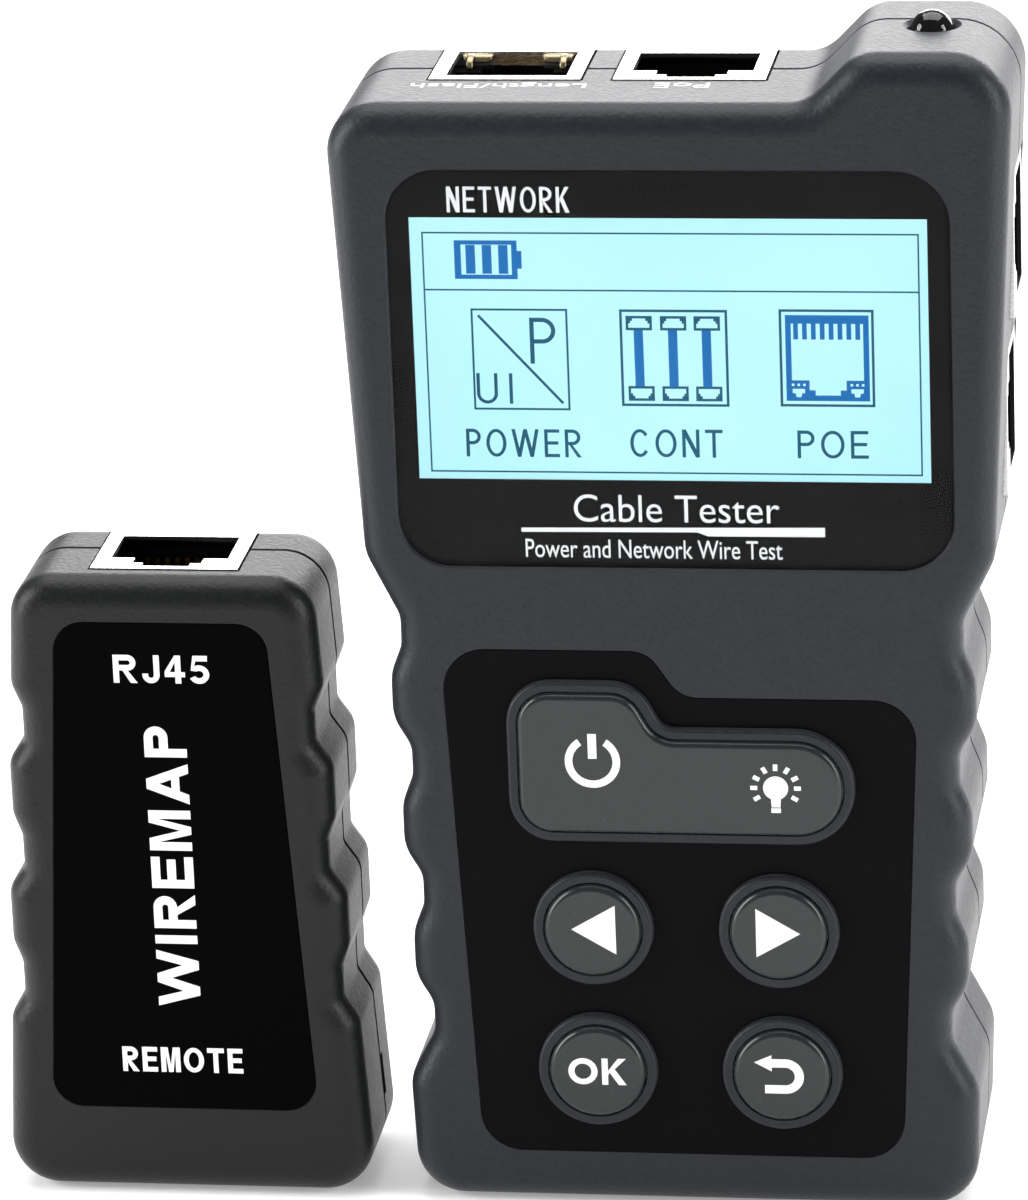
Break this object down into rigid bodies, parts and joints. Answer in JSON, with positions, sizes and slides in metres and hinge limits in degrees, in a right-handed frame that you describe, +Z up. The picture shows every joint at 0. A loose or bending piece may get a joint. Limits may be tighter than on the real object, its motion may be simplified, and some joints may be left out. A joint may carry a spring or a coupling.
{
  "type": "network cable tester",
  "caption": "Handheld network cable tester with a backlit display, five keys, RJ45 sockets and a torch, standing beside its small remote end unit.",
  "frame": {"origin": "centre of the tester's flat base, on the level both units stand on", "axes": "+Z up along the tester, +X to the right seen from the display side, +Y from the display to the back"},
  "size_m": [0.1037, 0.0273, 0.121],
  "materials": {
    "backlight": "white",
    "black_film": "gloss",
    "board": "solder mask",
    "case_plastic": "fine matt texture",
    "cell_wrap": "printed wrap",
    "chip": "moulded",
    "gold": "gold plated",
    "key_plastic": "matt",
    "lcd": "backlit",
    "lead_black": "insulation",
    "lead_red": "insulation",
    "led_clear": "clear dome",
    "lens_clear": "gloss, clear",
    "overlay_film": "satin",
    "port_black": "moulded",
    "resistor": "chip",
    "rubber_grey": "matt",
    "screw_steel": "zinc",
    "steel": "tinned"
  },
  "bodies": {
    "tester": {"back_shell": "case_plastic", "battery_cells": "cell_wrap", "battery_lead_black": "lead_black", "battery_lead_red": "lead_red", "battery_plates": "steel", "battery_springs": "steel", "board_header": "port_black", "buzzer": "chip", "case_screws": "screw_steel", "chip_leads": "steel", "controller_chips": "chip", "crystal": "steel", "display_lens": "lens_clear", "dome_switches": "steel", "front_shell": "case_plastic", "keypad_overlay": "overlay_film", "keypad_web": "rubber_grey", "lcd_backlight": "backlight", "lcd_frame": "steel", "lcd_panel": "lcd", "lens_mask": "black_film", "main_board": "board", "port_a_contacts": "gold", "port_a_insert": "port_black", "port_a_shield": "steel", "port_b_contacts": "gold", "port_b_insert": "port_black", "port_b_shield": "steel", "port_board": "board", "port_c_contacts": "gold", "port_c_insert": "port_black", "port_c_shield": "steel", "port_d_contacts": "gold", "port_d_insert": "port_black", "port_d_shield": "steel", "torch_leads": "steel", "torch_led": "led_clear"},
    "battery_door": {"battery_door": "case_plastic"},
    "remote_unit": {"remote_back_shell": "case_plastic", "remote_board": "board", "remote_chip": "chip", "remote_front_shell": "case_plastic", "remote_label": "overlay_film", "remote_port_contacts": "gold", "remote_port_insert": "port_black", "remote_port_shield": "steel", "remote_resistors": "resistor", "remote_screws": "screw_steel"},
    "key_power_light": {"key_power_light": "key_plastic"},
    "key_prev": {"key_prev": "key_plastic"},
    "key_next": {"key_next": "key_plastic"},
    "key_ok": {"key_ok": "key_plastic"},
    "key_return": {"key_return": "key_plastic"}
  },
  "joints": [
    {"name": "press_prev", "type": "slide", "parent": "tester", "child": "key_prev", "axis": [0, 1, 0], "range_m": [0, 0.0008], "stiffness_N_per_m": 1200},
    {"name": "press_next", "type": "slide", "parent": "tester", "child": "key_next", "axis": [0, 1, 0], "range_m": [0, 0.0008], "stiffness_N_per_m": 1200},
    {"name": "press_ok", "type": "slide", "parent": "tester", "child": "key_ok", "axis": [0, 1, 0], "range_m": [0, 0.0008], "stiffness_N_per_m": 1200},
    {"name": "press_return", "type": "slide", "parent": "tester", "child": "key_return", "axis": [0, 1, 0], "range_m": [0, 0.0008], "stiffness_N_per_m": 1200},
    {"name": "rock_power_light", "type": "hinge", "parent": "tester", "child": "key_power_light", "pos_m": [0, -0.0123, 0.0465], "axis": [0, 0, 1], "range_deg": [-3.5, 3.5], "stiffness_Nm_per_rad": 0.22},
    {"name": "battery_door_hinge", "type": "hinge", "parent": "tester", "child": "battery_door", "pos_m": [0, 0.01195, 0.0086], "axis": [-1, 0, 0], "range_deg": [0, 75]},
    {"name": "remote_lift", "type": "slide", "parent": "tester", "child": "remote_unit", "axis": [0, 0, 1], "range_m": [0, 0.15]}
  ]
}
